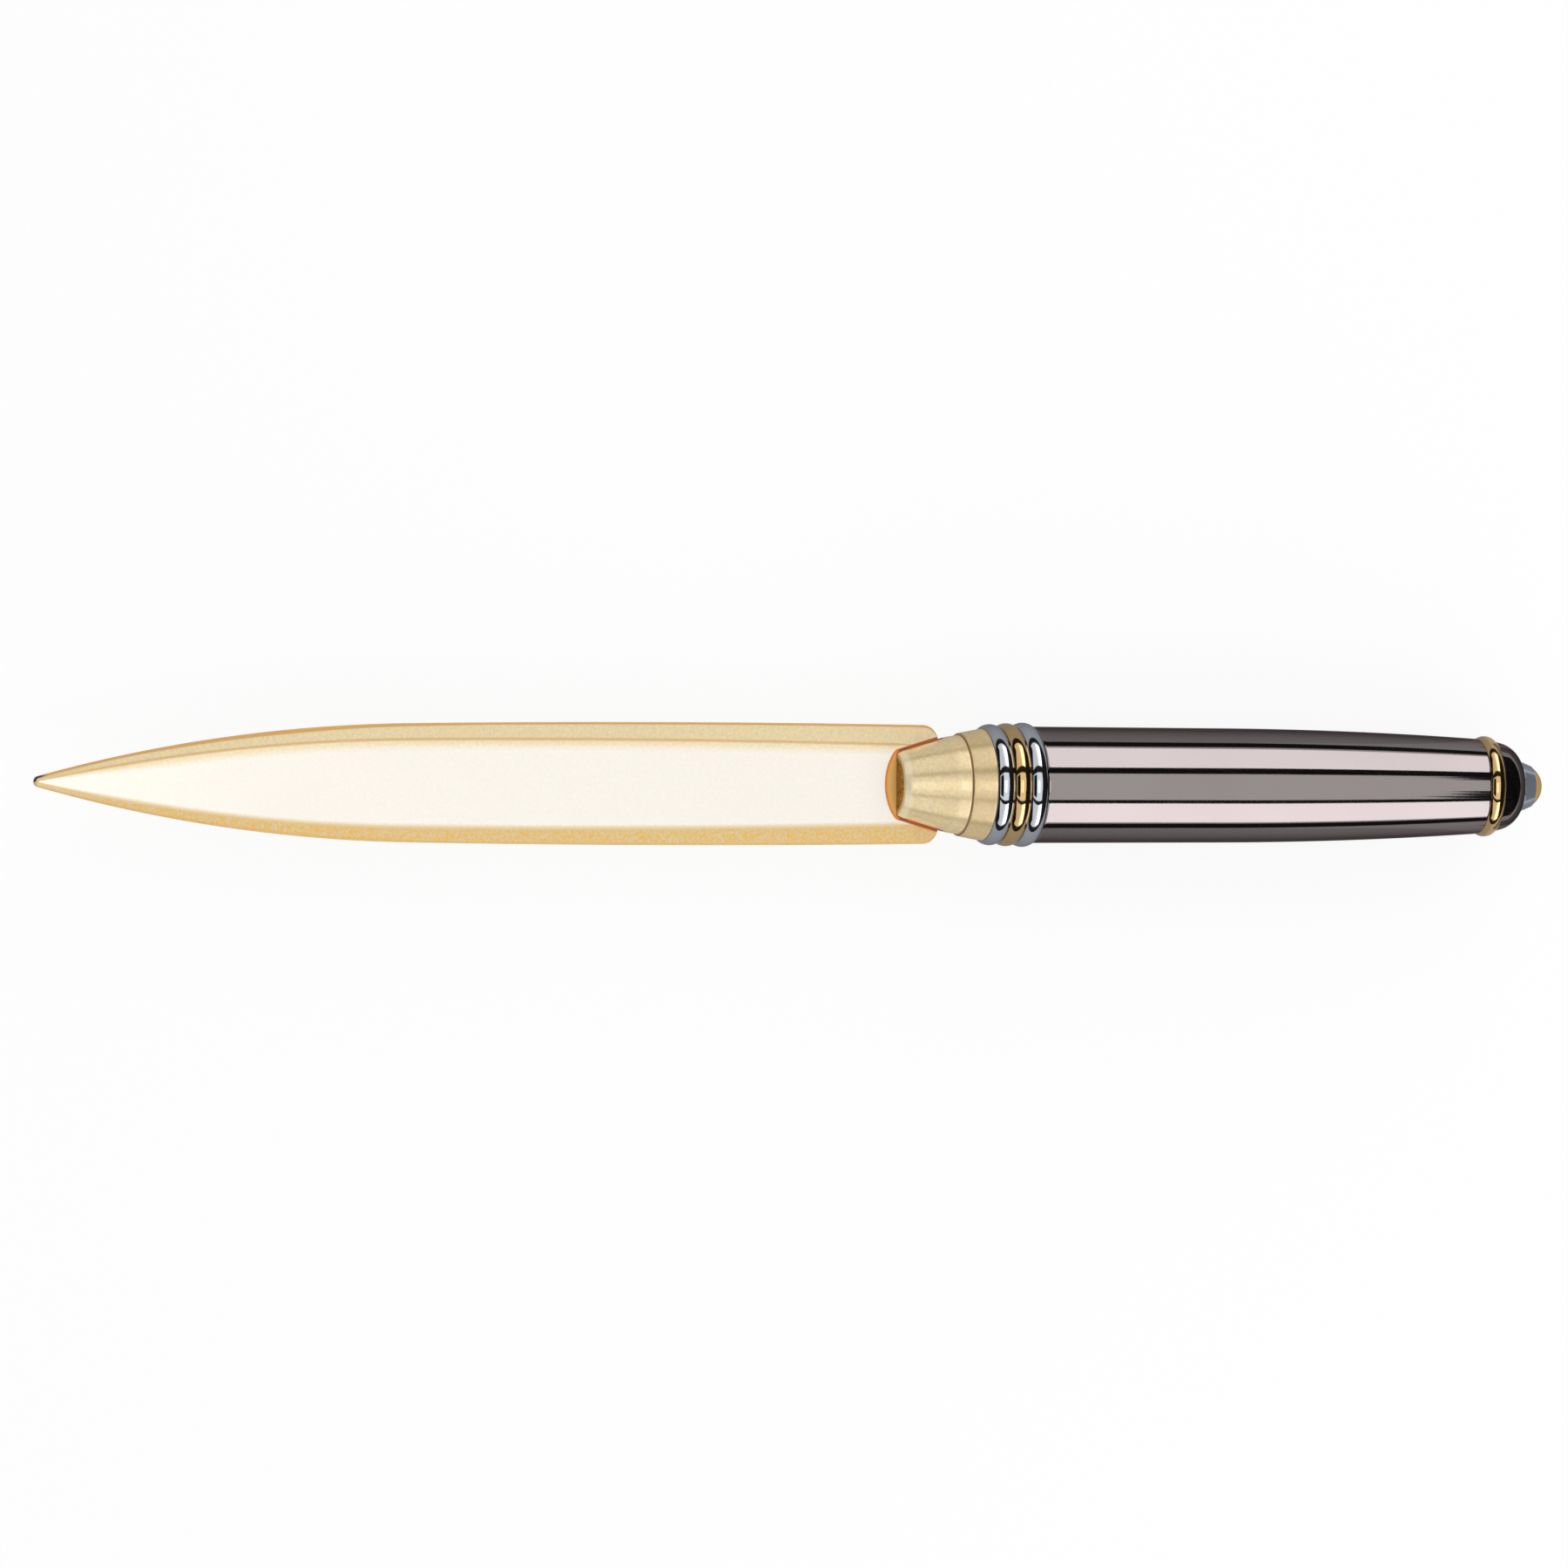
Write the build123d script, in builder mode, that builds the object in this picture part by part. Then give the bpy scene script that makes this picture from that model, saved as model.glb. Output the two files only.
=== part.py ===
from build123d import *
import os

os.makedirs("parts", exist_ok=True)

# Sizes in millimetres. Stations are counted along the axis from the blade's point.

# Blade
point_to_nose = 115.7       # point to the nose cone's front face
blade_in_slot = 5.6         # nose cone's front face to the blade's shoulders
blade_thickness = 1.4
edge_thickness = 0.4        # left standing along the two edges
blade_width = 15.7          # widest, over the belly
point_run = 50.3            # length of the curved point
belly_station = 82.0        # where the blade is widest
belly_bow = 0.25            # half width lost where the point's curve starts
shoulder_narrowing = 0.28   # half width lost at the shoulders
shoulder_radius = 1.9
point_half_width = 0.65     # rounding of the very point
point_depth = 0.4
flat_setback = 3.0          # point to the start of the flat between the bevels
flat_tip_half_width = 0.12
flat_tip_depth = 0.1
bevel_width = 2.05          # where the point's curve starts
belly_bevel_width = 2.25
shoulder_bevel_width = 2.6
seat_depth = 0.1            # root of the blade, thinned on each face to sit in the slot
seat_margin = 0.15          # seat shows this far outside the nose cone
tang_width = 6.0
tang_length = 11.6
tang_chamfer = 0.8

# Nose cone, with its neck and stud
nose_face_radius = 4.05
nose_chamfer_length = 0.8
nose_chamfer_rise = 0.37
nose_cone_length = 6.0
nose_cone_rise = 1.68
nose_land_length = 1.7
nose_land_rise = 0.26
nose_edge_radius = 0.25
slot_length = 6.3
neck_radius = 4.6
neck_entry = 0.9            # neck reaches this far into the barrel
stud_radius = 4.0
stud_length = 7.6
stud_chamfer = 0.5
tang_pin_radius = 0.8

# Collar and front rings
collar_length = 3.1
collar_front_radius = 6.62
collar_rear_radius = 7.17
collar_edge_chamfer = 0.1
ring_width = 2.2
ring_crown = 0.45
front_ring_radius = 7.75
middle_ring_radius = 7.87
rear_ring_radius = 7.96

# Barrel and the two bushes in it
barrel_straight_length = 26.0
barrel_curve_length = 34.5
barrel_front_radius = 7.45
barrel_straight_drop = 0.13
barrel_curve_drop = 1.24
barrel_edge_chamfer = 0.15
barrel_cavity_radius = 5.6
bush_setback = 1.0          # barrel's front face to the front bush
bush_radius = 6.1
bush_length = 10.0
tail_seat_radius = 4.7
tail_seat_length = 11.3
tail_bush_length = 8.0
bush_chamfer = 0.3

# Tail pieces
tail_ring_width = 1.9
tail_ring_radius = 6.44
tail_ring_crown = 0.42
dome_length = 3.6
dome_front_radius = 5.85
dome_rear_radius = 3.35
dome_shoulder_length = 1.1
dome_shoulder_drop = 0.28
spigot_entry = 2.6          # dome's spigot reaches this far into the barrel
tail_cone_length = 1.75
tail_cone_rear_radius = 2.62
button_length = 1.4
button_radius = 2.5
finial_stem_radius = 2.0
finial_engagement = 5.6     # stem's length inside the tail bush
stem_chamfer = 0.4

# Clearances, on the radius or on each side
slot_clearance = 0.02       # seat of the blade in the slot, tang in its mortise, pin in its hole
ring_clearance = 0.03       # collar and rings on the neck, tail ring and spigot
thread_clearance = 0.05     # stud in the front bush, stem in the tail bush and tail pieces
press_clearance = 0.01      # bushes in the barrel
end_clearance = 0.1         # ends that stop short of one another

# Stations that follow from the sizes
nose_face = point_to_nose
blade_shoulder = nose_face + blade_in_slot
slot_end = nose_face + slot_length
tang_end = blade_shoulder + tang_length
nose_chamfer_end = nose_face + nose_chamfer_length
nose_cone_end = nose_chamfer_end + nose_cone_length
seam = nose_cone_end + nose_land_length
collar_end = seam + collar_length
barrel_front = collar_end + 3 * ring_width
barrel_bend = barrel_front + barrel_straight_length
barrel_tail = barrel_bend + barrel_curve_length
tail_ring_end = barrel_tail + tail_ring_width
dome_end = tail_ring_end + dome_length
tail_cone_end = dome_end + tail_cone_length
overall_length = tail_cone_end + button_length
neck_end = barrel_front + neck_entry
stud_end = neck_end + stud_length
bush_front = barrel_front + bush_setback
bush_end = bush_front + bush_length
tail_seat = barrel_tail - tail_seat_length
spigot_end = barrel_tail - spigot_entry
tail_bush_end = spigot_end - end_clearance
tail_bush_front = tail_bush_end - tail_bush_length
stem_end = tail_bush_end - finial_engagement

# Radii that follow from the sizes
cone_front_radius = nose_face_radius + nose_chamfer_rise
cone_rear_radius = cone_front_radius + nose_cone_rise
land_rear_radius = cone_rear_radius + nose_land_rise
cone_slope = nose_cone_rise / nose_cone_length
barrel_bend_radius = barrel_front_radius - barrel_straight_drop
barrel_tail_radius = barrel_bend_radius - barrel_curve_drop
neck_bore = neck_radius + ring_clearance
spigot_radius = tail_seat_radius - ring_clearance
stem_bore = finial_stem_radius + thread_clearance
tang_thickness = blade_thickness - 2 * seat_depth
pin_station = seam + collar_length / 2

# The axis lies along X, the height of the largest ring above the desk
axis_height = max(front_ring_radius, middle_ring_radius, rear_ring_radius)
point = (-overall_length / 2, 0, axis_height)
opener_axis = Axis(point, (1, 0, 0))
profile_plane = Plane(origin=point, x_dir=(1, 0, 0), z_dir=(0, -1, 0))
blade_plane = Plane(origin=point, x_dir=(1, 0, 0), z_dir=(0, 0, 1))

# Half widths of the blade's edge and of the flat between its bevels
edge_start = blade_width / 2 - belly_bow
edge_belly = blade_width / 2
edge_shoulder = blade_width / 2 - shoulder_narrowing
flat_start = edge_start - bevel_width
flat_belly = edge_belly - belly_bevel_width
flat_shoulder = edge_shoulder - shoulder_bevel_width
edge_outline = (0, point_depth, point_half_width, edge_start, edge_belly, edge_shoulder)
flat_outline = (flat_setback, flat_tip_depth, flat_tip_half_width, flat_start, flat_belly, flat_shoulder)
blade_levels = (
    (-blade_thickness / 2, flat_outline),
    (-edge_thickness / 2, edge_outline),
    (edge_thickness / 2, edge_outline),
    (blade_thickness / 2, flat_outline),
)

with BuildPart() as blade:
    for level, (tip, depth, tip_half, start_half, belly_half, shoulder_half) in blade_levels:
        with BuildSketch(blade_plane.offset(level)):
            with BuildLine():
                upper = ThreePointArc(
                    (point_run, start_half), (belly_station, belly_half), (blade_shoulder, shoulder_half)
                )
                upper_point = TangentArc(upper @ 0, (tip + depth, tip_half), tangent=-(upper % 0))
                ThreePointArc(upper_point @ 1, (tip, 0), (tip + depth, -tip_half))
                lower = ThreePointArc(
                    (point_run, -start_half), (belly_station, -belly_half), (blade_shoulder, -shoulder_half)
                )
                TangentArc(lower @ 0, (tip + depth, -tip_half), tangent=-(lower % 0))
                Line(upper @ 1, lower @ 1)
            make_face()
    loft(ruled=True)
    # rounded shoulders
    with BuildSketch(blade_plane):
        with Locations((blade_shoulder / 2, 0)):
            shoulders = RectangleRounded(blade_shoulder, 2 * edge_shoulder, shoulder_radius)
        with Locations((blade_shoulder / 2 - shoulder_radius, 0)):
            Rectangle(blade_shoulder, blade_width + 2 * shoulder_radius)
    extrude(amount=blade_thickness, both=True, mode=Mode.INTERSECT)
    # thinned root that sits in the slot
    seat_front = nose_face - seat_margin
    seat_front_half = cone_front_radius + seat_margin
    seat_rear = blade_shoulder + seat_margin
    seat_rear_half = cone_front_radius + cone_slope * (blade_shoulder - nose_chamfer_end) + 2 * seat_margin
    for face in (-1, 1):
        with BuildSketch(blade_plane.offset(face * tang_thickness / 2)):
            with BuildLine():
                Polyline(
                    (seat_front, -seat_front_half),
                    (seat_front, seat_front_half),
                    (seat_rear, seat_rear_half),
                    (seat_rear, -seat_rear_half),
                    close=True,
                )
            make_face()
        extrude(amount=face * blade_thickness, mode=Mode.SUBTRACT)
    # tang
    with BuildSketch(blade_plane):
        with Locations((blade_shoulder + tang_length / 2, 0)):
            tang_outline = Rectangle(tang_length, tang_width)
        chamfer(tang_outline.vertices().sort_by(Axis.X)[-2:], length=tang_chamfer)
        with Locations((blade_shoulder - tang_width / 2, 0)):
            Rectangle(tang_width, tang_width)
    extrude(amount=tang_thickness / 2, both=True)
    with Locations(blade_plane.offset(-blade_thickness)):
        with Locations((pin_station, 0)):
            Cylinder(
                tang_pin_radius + slot_clearance,
                2 * blade_thickness,
                align=(Align.CENTER, Align.CENTER, Align.MIN),
                mode=Mode.SUBTRACT,
            )

with BuildPart() as nose_cone:
    with BuildSketch(profile_plane):
        with BuildLine():
            Polyline(
                (nose_face, 0),
                (nose_face, nose_face_radius),
                (nose_chamfer_end, cone_front_radius),
                (nose_cone_end, cone_rear_radius),
                (seam, land_rear_radius),
                (seam, neck_radius),
                (neck_end, neck_radius),
                (neck_end, stud_radius),
                (stud_end - stud_chamfer, stud_radius),
                (stud_end, stud_radius - stud_chamfer),
                (stud_end, 0),
                close=True,
            )
        make_face()
    revolve(axis=opener_axis)
    seam_edge = nose_cone.edges().filter_by(GeomType.CIRCLE).sort_by(SortBy.RADIUS)[-1]
    fillet(seam_edge, nose_edge_radius)
    # slot across the front, mortise for the tang, hole for the pin
    slot_width = tang_thickness + 2 * slot_clearance
    with BuildSketch(blade_plane):
        with Locations((nose_face + slot_length / 2, 0)):
            Rectangle(slot_length, 2 * land_rear_radius)
        mortise_length = tang_end + end_clearance - nose_face
        with Locations((nose_face + mortise_length / 2, 0)):
            Rectangle(mortise_length, tang_width + 2 * slot_clearance)
    extrude(amount=slot_width / 2, both=True, mode=Mode.SUBTRACT)
    with Locations(blade_plane):
        with Locations((pin_station, 0)):
            Cylinder(tang_pin_radius + slot_clearance, 2 * neck_bore, mode=Mode.SUBTRACT)

with BuildPart() as tang_pin:
    with Locations(blade_plane):
        with Locations((pin_station, 0)):
            Cylinder(tang_pin_radius, 2 * (neck_radius - end_clearance))

with BuildPart() as collar:
    with BuildSketch(profile_plane):
        with BuildLine():
            Polyline(
                (seam, neck_bore),
                (seam, collar_front_radius - collar_edge_chamfer),
                (seam + collar_edge_chamfer, collar_front_radius),
                (collar_end, collar_rear_radius),
                (collar_end, neck_bore),
                close=True,
            )
        make_face()
    revolve(axis=opener_axis)

# Beads: straight bore, crowned outside
bead_sizes = (
    ("front_ring", collar_end, ring_width, front_ring_radius, ring_crown, neck_bore),
    ("middle_ring", collar_end + ring_width, ring_width, middle_ring_radius, ring_crown, neck_bore),
    ("rear_ring", collar_end + 2 * ring_width, ring_width, rear_ring_radius, ring_crown, neck_bore),
    ("tail_ring", barrel_tail, tail_ring_width, tail_ring_radius, tail_ring_crown, tail_seat_radius),
)
beads = {}
for bead_name, bead_start, bead_width, bead_radius, bead_crown, bead_bore in bead_sizes:
    with BuildPart() as bead:
        with BuildSketch(profile_plane):
            with BuildLine():
                bead_side = bead_radius - bead_crown
                crown = ThreePointArc(
                    (bead_start, bead_side),
                    (bead_start + bead_width / 2, bead_radius),
                    (bead_start + bead_width, bead_side),
                )
                Polyline(
                    crown @ 1,
                    (bead_start + bead_width, bead_bore),
                    (bead_start, bead_bore),
                    crown @ 0,
                )
            make_face()
        revolve(axis=opener_axis)
    beads[bead_name] = bead

with BuildPart() as barrel:
    with BuildSketch(profile_plane):
        with BuildLine():
            straight = Line(
                (barrel_front + barrel_edge_chamfer, barrel_front_radius), (barrel_bend, barrel_bend_radius)
            )
            curve = TangentArc(straight @ 1, (barrel_tail, barrel_tail_radius), tangent=straight % 1)
            Polyline(
                curve @ 1,
                (barrel_tail, tail_seat_radius),
                (tail_seat, tail_seat_radius),
                (tail_seat, barrel_cavity_radius),
                (bush_end, barrel_cavity_radius),
                (bush_end, bush_radius + press_clearance),
                (barrel_front, bush_radius + press_clearance),
                (barrel_front, barrel_front_radius - barrel_edge_chamfer),
                straight @ 0,
            )
        make_face()
    revolve(axis=opener_axis)

# Bushes: outside pressed in the barrel, plain bore for the thread
bush_sizes = (
    ("front_bush", bush_front, bush_end, bush_radius, stud_radius),
    ("tail_bush", tail_bush_front, tail_bush_end, tail_seat_radius - press_clearance, finial_stem_radius),
)
bushes = {}
for bush_name, bush_from, bush_to, outer_radius, thread_radius in bush_sizes:
    with BuildPart() as bush:
        with BuildSketch(profile_plane):
            with BuildLine():
                bore_radius = thread_radius + thread_clearance
                Polyline(
                    (bush_from, bore_radius + bush_chamfer),
                    (bush_from, outer_radius - bush_chamfer),
                    (bush_from + bush_chamfer, outer_radius),
                    (bush_to, outer_radius),
                    (bush_to, bore_radius + bush_chamfer),
                    (bush_to - bush_chamfer, bore_radius),
                    (bush_from + bush_chamfer, bore_radius),
                    close=True,
                )
            make_face()
        revolve(axis=opener_axis)
    bushes[bush_name] = bush

with BuildPart() as tail_dome:
    with BuildSketch(profile_plane):
        with BuildLine():
            shoulder = Line(
                (tail_ring_end, dome_front_radius),
                (tail_ring_end + dome_shoulder_length, dome_front_radius - dome_shoulder_drop),
            )
            dome = TangentArc(shoulder @ 1, (dome_end, dome_rear_radius), tangent=shoulder % 1)
            Polyline(
                dome @ 1,
                (dome_end, stem_bore),
                (spigot_end, stem_bore),
                (spigot_end, spigot_radius),
                (tail_ring_end, spigot_radius),
                shoulder @ 0,
            )
        make_face()
    revolve(axis=opener_axis)

with BuildPart() as tail_cone:
    with BuildSketch(profile_plane):
        with BuildLine():
            Polyline(
                (dome_end, stem_bore),
                (dome_end, dome_rear_radius),
                (tail_cone_end, tail_cone_rear_radius),
                (tail_cone_end, stem_bore),
                close=True,
            )
        make_face()
    revolve(axis=opener_axis)

with BuildPart() as finial_screw:
    with BuildSketch(profile_plane):
        with BuildLine():
            button = ThreePointArc(
                (tail_cone_end, -button_radius),
                (overall_length, 0),
                (tail_cone_end, button_radius),
                mode=Mode.PRIVATE,
            )
            cap = button.trim(0.5, 1)
            add(cap)
            Polyline(
                cap @ 1,
                (tail_cone_end, finial_stem_radius),
                (stem_end + stem_chamfer, finial_stem_radius),
                (stem_end, finial_stem_radius - stem_chamfer),
                (stem_end, 0),
                cap @ 0,
            )
        make_face()
    revolve(axis=opener_axis)

pieces = {
    "blade": blade,
    "nose_cone": nose_cone,
    "tang_pin": tang_pin,
    "collar": collar,
    **beads,
    "barrel": barrel,
    **bushes,
    "tail_dome": tail_dome,
    "tail_cone": tail_cone,
    "finial_screw": finial_screw,
}
for piece_name, piece in pieces.items():
    piece.part.label = piece_name
    export_step(piece.part, f"parts/{piece_name}.step")
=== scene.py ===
import math

import bmesh
import bpy
import numpy as np
from mathutils import Matrix, Vector


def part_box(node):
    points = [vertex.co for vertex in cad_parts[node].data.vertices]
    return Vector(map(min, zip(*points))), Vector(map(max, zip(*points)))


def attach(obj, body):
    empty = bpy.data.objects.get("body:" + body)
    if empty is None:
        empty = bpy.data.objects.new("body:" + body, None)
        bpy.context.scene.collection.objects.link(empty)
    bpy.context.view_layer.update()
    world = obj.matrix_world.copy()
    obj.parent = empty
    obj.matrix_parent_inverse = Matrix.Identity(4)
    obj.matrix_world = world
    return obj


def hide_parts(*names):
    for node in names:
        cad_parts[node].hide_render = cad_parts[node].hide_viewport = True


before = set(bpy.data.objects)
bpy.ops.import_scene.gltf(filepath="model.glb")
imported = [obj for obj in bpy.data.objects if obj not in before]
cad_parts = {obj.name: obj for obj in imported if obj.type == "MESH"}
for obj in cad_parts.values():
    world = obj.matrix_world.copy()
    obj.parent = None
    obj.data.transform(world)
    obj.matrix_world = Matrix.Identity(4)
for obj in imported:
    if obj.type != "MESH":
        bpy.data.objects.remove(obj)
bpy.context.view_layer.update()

mm = 0.001
overallLength = 203.05    # from the blade's point to the button's crown, millimetres
noseFace = 115.7    # station of the nose cone's front face
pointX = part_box("finial_screw")[1].x / mm - overallLength    # place of station 0, the blade's point
axisZ = (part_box("barrel")[0].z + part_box("barrel")[1].z) / 2 / mm   # height of the axis over the desk
print("frame loaded, point at", round(pointX, 3), "axis at", round(axisZ, 3))


# A grid's quads, counted row by row, with the last row or column joined to the first where it wraps.
def gridQuads(rows, columns, wrapRows, wrapColumns):
    i = np.arange(rows if wrapRows else rows - 1)[:, None]
    j = np.arange(columns if wrapColumns else columns - 1)[None, :]
    nextRow, nextColumn = (i + 1) % rows, (j + 1) % columns
    corners = (i * columns + j, i * columns + nextColumn,
               nextRow * columns + nextColumn, nextRow * columns + j)
    return np.stack([c + 0 * (i + j) for c in corners], -1).reshape(-1, 4)


meshing = dict(weldsPerMm=1e4, sharpAngle=38)


# Grids of (station, across, up) in millimetres become one closed mesh: points within a tenth of a micron
# are one vertex, and quads that lose a side at a pole become triangles. Marks are shares from 0 to 1 at each
# point: rim on cut edges, which get a painted edge tone (a dark reflection line on the blade, a pale
# highlight elsewhere, partly wear); flat for the painted highlight on the blade's flats and polish for their
# gloss; raw on faces left as they were sawn; tarnishShade for tarnish with painted shade at the collar's
# seam, beside and in the nose's slot, and on the far side of the blade's tip.
def closedMesh(name, grids):
    points, quads, count = [], [], 0
    marks = {markName: [] for grid in grids for markName in grid[3]}
    for grid, wrapRows, wrapColumns, mark in grids:
        rows, columns = grid.shape[:2]
        points.append(grid.reshape(-1, 3))
        quads.append(gridQuads(rows, columns, wrapRows, wrapColumns) + count)
        for markName, values in marks.items():
            values.append(np.broadcast_to(mark.get(markName, 0.0), (rows, columns)).reshape(-1))
        count += rows * columns
    points, quads = np.concatenate(points), np.concatenate(quads)
    cells = np.round(points * meshing["weldsPerMm"]).astype(np.int64)
    first, inverse = np.unique(cells, axis=0, return_index=True, return_inverse=True)[1:]
    faces = inverse.reshape(-1)[quads]
    lost = faces == np.roll(faces, -1, axis=1)
    folded = (faces[:, 0] == faces[:, 2]) | (faces[:, 1] == faces[:, 3])
    whole = faces[(lost.sum(1) == 0) & ~folded]
    short = (lost.sum(1) == 1) & ~folded
    turn = (lost[short].argmax(1)[:, None] + np.array([1, 2, 3])) % 4
    triangles = np.take_along_axis(faces[short], turn, 1)
    kept = points[first]
    place = (kept + np.array([pointX, 0.0, axisZ])) * mm
    mesh = bpy.data.meshes.new(name)
    mesh.from_pydata(place.tolist(), [], whole.tolist() + triangles.tolist())
    for markName, values in marks.items():
        share = np.concatenate(values)[first].astype(np.float32)
        mesh.attributes.new(markName, "FLOAT", "POINT").data.foreach_set("value", share)
    work = bmesh.new()
    work.from_mesh(mesh)
    bmesh.ops.recalc_face_normals(work, faces=work.faces)
    work.to_mesh(mesh)
    work.free()
    mesh.polygons.foreach_set("use_smooth", np.ones(len(mesh.polygons), bool))
    mesh.set_sharp_from_angle(angle=math.radians(meshing["sharpAngle"]))
    mesh.update()
    return mesh


# The new piece stands for a CAD node, rides on that node's body and takes the material it is given.
def addPiece(name, grids, node, body, material):
    piece = bpy.data.objects.new(name, closedMesh(name, grids))
    bpy.context.scene.collection.objects.link(piece)
    piece.data.materials.append(material)
    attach(piece, body)
    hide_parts(node)
    print("made", name, len(piece.data.polygons), "faces")


pathing = dict(largestCut=0.48, shortestLeg=0.2, fewest=3, most=48)    # share of a leg, mm, parts of a leg


# A path through corners (station, radius, cut). Each corner with a cut is replaced by the curve
# (1-t)^2 start + 2t(1-t) corner + t^2 end between points a cut away on its two legs,
# and each leg is divided by a cosine, finest at its ends. The second result is 1 on the cuts.
def roundedPath(corners, closed=False, steps=7, longest=0.7):
    at = np.array([c[:2] for c in corners], float)
    cut = np.array([c[2] for c in corners], float)
    back, ahead = np.roll(at, 1, 0) - at, np.roll(at, -1, 0) - at
    backLength = np.maximum(np.linalg.norm(back, axis=1), 1e-9)
    aheadLength = np.maximum(np.linalg.norm(ahead, axis=1), 1e-9)
    cut = np.minimum(cut, pathing["largestCut"] * np.minimum(backLength, aheadLength))
    if not closed:
        cut[[0, -1]] = 0
    start = at + back / backLength[:, None] * cut[:, None]
    end = at + ahead / aheadLength[:, None] * cut[:, None]
    t = np.linspace(0, 1, steps)[:, None]
    path, rim = [], []
    for k in range(len(at)):
        if cut[k] > 0:
            path.append((1 - t) ** 2 * start[k] + 2 * t * (1 - t) * at[k] + t ** 2 * end[k])
            rim.append(np.sin(np.pi * t[:, 0]))
        else:
            path.append(at[k][None])
            rim.append(np.zeros(1))
        following = (k + 1) % len(at)
        if k == len(at) - 1 and not closed:
            continue
        leg = start[following] - end[k]
        pieces = int(min(pathing["most"], max(pathing["fewest"], np.linalg.norm(leg) / longest)))
        if np.linalg.norm(leg) > pathing["shortestLeg"]:
            share = (0.5 - 0.5 * np.cos(np.pi * np.arange(1, pieces) / pieces))[:, None]
            path.append(end[k] + share * leg)
            rim.append(np.zeros(pieces - 1))
    return np.concatenate(path), np.concatenate(rim)


threadWave = dict(gain=1.35, drop=0.17)    # leaves flats on the crests and in the roots


# A profile turned about the axis: across = radius cos(angle), up = radius sin(angle).
# On a thread the radius falls by depth times a saw wave of (station / pitch - angle / turn).
def turned(profile, angles, thread=None):
    station = profile[:, 0][:, None] + 0 * angles
    radius = profile[:, 1][:, None] + 0 * angles
    if thread:
        wave = np.abs(((station / thread["pitch"] - thread["hand"] * angles / (2 * np.pi)) % 1.0) * 2 - 1)
        wave = np.clip(threadWave["gain"] * wave - threadWave["drop"], 0, 1)
        inside = np.clip((station - thread["start"]) / thread["fade"], 0, 1)
        inside = inside * np.clip((thread["end"] - station) / thread["fade"], 0, 1)
        onThread = np.abs(radius - thread["radius"]) < thread["band"]
        radius = radius - thread["depth"] * wave * inside * onThread
    return np.stack([station, radius * np.cos(angles), radius * np.sin(angles)], -1)


# Angles of one whole turn, evenly spaced.
def fullTurn(count):
    return np.linspace(0, 2 * np.pi, count, endpoint=False)


# Centre and radius of the circle through three points: the centre is as far from each of them.
def circleThrough(a, b, c):
    (ax, ay), (bx, by), (cx, cy) = a, b, c
    d = 2 * (ax * (by - cy) + bx * (cy - ay) + cx * (ay - by))
    a2, b2, c2 = ax * ax + ay * ay, bx * bx + by * by, cx * cx + cy * cy
    x = (a2 * (by - cy) + b2 * (cy - ay) + c2 * (ay - by)) / d
    y = (a2 * (cx - bx) + b2 * (ax - cx) + c2 * (bx - ax)) / d
    return np.array([x, y]), math.hypot(ax - x, ay - y)


# The circle that leaves point p square to the direction out and passes through q.
def circleLeaving(p, out, q):
    reach = np.subtract(q, p)
    radius = -reach @ reach / (2 * (out @ reach))
    return np.asarray(p) - out * radius, radius


# Height of a circle's upper half at a station: centre's height + root of (radius^2 - (station - centre)^2).
def heightOn(circle, station):
    (x, y), radius = circle
    return y + np.sqrt(np.maximum(radius ** 2 - (station - x) ** 2, 0))


# Unit direction square to a profile's leg, pointing away from the axis.
def legOut(start, end):
    lean = np.subtract(end, start)
    return np.array([-lean[1], lean[0]]) / np.hypot(*lean)


# Node trees of the finishes start here.
def startTree(name):
    material = bpy.data.materials.new(name)
    material.use_nodes = True
    tree = material.node_tree
    return material, tree, tree.nodes["Principled BSDF"]


# A node with its settings and the values on its sockets.
def addNode(tree, kind, settings=(), values=()):
    node = tree.nodes.new(kind)
    for key, value in dict(settings).items():
        setattr(node, key, value)
    for key, value in dict(values).items():
        node.inputs[key].default_value = value
    return node


# Noise over the piece's own coordinates, stretched by scale along X, Y and Z (cycles per metre).
def pieceNoise(tree, scale, detail, roughness=0.55):
    place = addNode(tree, "ShaderNodeTexCoord")
    stretch = addNode(tree, "ShaderNodeMapping", values={"Scale": scale})
    noise = addNode(tree, "ShaderNodeTexNoise",
                    values={"Scale": 1.0, "Detail": detail, "Roughness": roughness})
    tree.links.new(place.outputs["Object"], stretch.inputs["Vector"])
    tree.links.new(stretch.outputs["Vector"], noise.inputs["Vector"])
    return noise.outputs["Fac"]


# A number carried from one span to another and held at the ends.
def spread(tree, source, low, high, fromLow=0.3, fromHigh=0.7):
    node = addNode(tree, "ShaderNodeMapRange", {"clamp": True})
    for key, value in zip(("From Min", "From Max", "To Min", "To Max"), (fromLow, fromHigh, low, high)):
        node.inputs[key].default_value = value
    tree.links.new(source, node.inputs["Value"])
    return node.outputs["Result"]


# A colour mix has its share on socket 0, its two colours on 6 and 7 and its result on output 2.
def mixColour(tree, share, first, second):
    node = addNode(tree, "ShaderNodeMix", {"data_type": "RGBA"})
    tree.links.new(share, node.inputs[0])
    for socket, colour in ((6, first), (7, second)):
        if isinstance(colour, tuple):
            node.inputs[socket].default_value = (*colour, 1)
        else:
            tree.links.new(colour, node.inputs[socket])
    return node.outputs[2]


# One sum of two values, each a socket or a plain number.
def doMath(tree, operation, first, second):
    node = addNode(tree, "ShaderNodeMath", {"operation": operation})
    for socket, value in ((0, first), (1, second)):
        if isinstance(value, (int, float)):
            node.inputs[socket].default_value = value
        else:
            tree.links.new(value, node.inputs[socket])
    return node.outputs[0]


# A mark that closedMesh left on the mesh.
def meshMark(tree, name):
    return addNode(tree, "ShaderNodeAttribute", {"attribute_name": name}).outputs["Fac"]


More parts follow.
